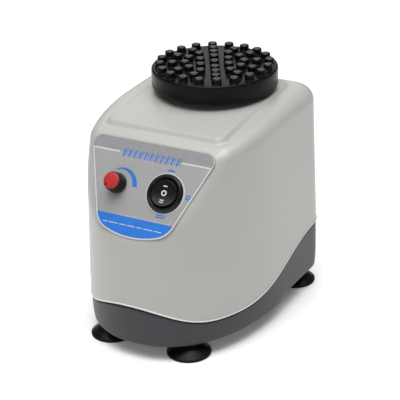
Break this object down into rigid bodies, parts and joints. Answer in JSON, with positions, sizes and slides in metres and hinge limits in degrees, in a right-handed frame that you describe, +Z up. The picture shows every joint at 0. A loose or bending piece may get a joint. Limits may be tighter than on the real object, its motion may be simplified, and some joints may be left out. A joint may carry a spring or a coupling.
{
  "type": "vortex mixer",
  "caption": "Bench vortex mixer: wedge-shaped housing with a leaning control panel, studded rubber head on a crank, rocker switch, speed knob and suction feet.",
  "frame": {"origin": "on the bench, below the middle of the machine's box", "axes": "+Z up, front with the control panel towards -Y, +X to the right seen from the front"},
  "size_m": [0.114, 0.155, 0.1499],
  "materials": {
    "housing_paint": "satin off-white stoved enamel",
    "base_plastic": "fine-grained dark slate moulding",
    "panel_print": "silver-grey printed film with a blue field",
    "black_rubber": "matt moulded rubber",
    "black_plastic": "semi-gloss moulding",
    "red_plastic": "gloss moulding",
    "zinc_steel": "zinc-plated",
    "plate_steel": "grey powder coat",
    "cast_alloy": "die-cast",
    "lamination_steel": "stacked laminations",
    "copper": "enamelled copper wire",
    "bearing_steel": "ground",
    "iron": "machined",
    "bronze": "sintered bronze and plated contacts",
    "fan_plastic": "natural nylon",
    "board_laminate": "green solder mask",
    "board_components": "mixed",
    "pot_metal": "pressed can",
    "fuse_glass": "clear tube",
    "lead_sheath": "grey PVC"
  },
  "bodies": {
    "base": {"housing": "housing_paint", "panel_film": "panel_print", "switch_body": "black_plastic", "switch_terminals": "bronze", "speed_pot": "pot_metal", "pot_nut": "zinc_steel", "base_pan": "base_plastic", "housing_screws": "zinc_steel", "foot_front_left": "black_rubber", "foot_front_right": "black_rubber", "foot_rear_left": "black_rubber", "foot_rear_right": "black_rubber", "foot_screws": "zinc_steel", "chassis_plate": "plate_steel", "chassis_screws": "zinc_steel", "guide_posts": "zinc_steel", "post_washers": "black_rubber", "post_nuts": "zinc_steel", "carriage_springs": "zinc_steel", "throat_collar": "black_rubber", "restraint_bushes": "black_rubber", "touch_switch": "black_plastic", "touch_bracket": "zinc_steel", "control_board": "board_laminate", "board_screws": "zinc_steel", "board_parts": "board_components", "power_inlet": "black_plastic", "inlet_pins": "bronze", "fuse_holder": "black_plastic", "leads": "lead_sheath"},
    "carriage": {"carriage_plate": "plate_steel", "guide_bushes": "bronze", "lower_bracket": "cast_alloy", "upper_bracket": "cast_alloy", "stator_core": "lamination_steel", "stator_windings": "copper", "motor_bolts": "zinc_steel", "motor_nuts": "zinc_steel", "lower_bearing": "bearing_steel", "upper_bearing": "bearing_steel"},
    "rotor": {"motor_shaft": "bearing_steel", "rotor_core": "lamination_steel", "rotor_cage": "cast_alloy", "cooling_fan": "fan_plastic", "counterweight": "iron", "crank_screw": "zinc_steel"},
    "head": {"head_bearing": "bearing_steel", "head_hub": "cast_alloy", "hub_screws": "zinc_steel", "head_plate": "cast_alloy", "restraint_pins": "zinc_steel", "head_mat": "black_rubber"},
    "knob": {"pot_shaft": "zinc_steel", "speed_knob": "black_plastic", "knob_cap": "red_plastic"},
    "rocker": {"switch_rocker": "black_plastic"},
    "lever": {"touch_lever": "zinc_steel"},
    "plunger": {"touch_plunger": "red_plastic"},
    "fuse_carrier": {"fuse_cap": "black_plastic", "fuse_link": "fuse_glass"}
  },
  "joints": [
    {"name": "head_press", "type": "slide", "parent": "base", "child": "carriage", "axis": [0, 0, 1], "range_m": [-0.0012, 0], "stiffness_N_per_m": 6000, "springref_m": 0.006, "deforming": ["carriage_springs"]},
    {"name": "drive_spin", "type": "hinge", "parent": "carriage", "child": "rotor", "pos_m": [0, 0.028, 0.073], "axis": [0, 0, 1], "continuous": true},
    {"name": "head_orbit", "type": "hinge", "parent": "rotor", "child": "head", "pos_m": [0, 0.03, 0.1227], "axis": [0, 0, 1], "continuous": true},
    {"name": "speed_turn", "type": "hinge", "parent": "base", "child": "knob", "pos_m": [-0.0166, -0.05766, 0.10049], "axis": [0, -0.8192, 0.5736], "range_deg": [-270, 0]},
    {"name": "rocker_tilt", "type": "hinge", "parent": "base", "child": "rocker", "pos_m": [0.0148, -0.05734, 0.0999], "axis": [1, 0, 0], "range_deg": [-10, 10]},
    {"name": "touch_trip", "type": "hinge", "parent": "base", "child": "lever", "pos_m": [-0.008, -0.0032, 0.0384], "axis": [0, 1, 0], "range_deg": [0, 4.5]},
    {"name": "plunger_push", "type": "slide", "parent": "base", "child": "plunger", "axis": [0, 0, 1], "range_m": [-0.0004, 0]},
    {"name": "fuse_turn", "type": "hinge", "parent": "base", "child": "fuse_carrier", "pos_m": [0.025, 0.0695, 0.03], "axis": [0, 1, 0], "range_deg": [0, 90]}
  ],
  "couplings": [
    {"joint": "head_orbit", "follows": "drive_spin", "ratio": -1},
    {"joint": "touch_trip", "follows": "head_press", "rad_per_m": -62.5},
    {"joint": "plunger_push", "follows": "head_press", "ratio": 0.3125}
  ]
}
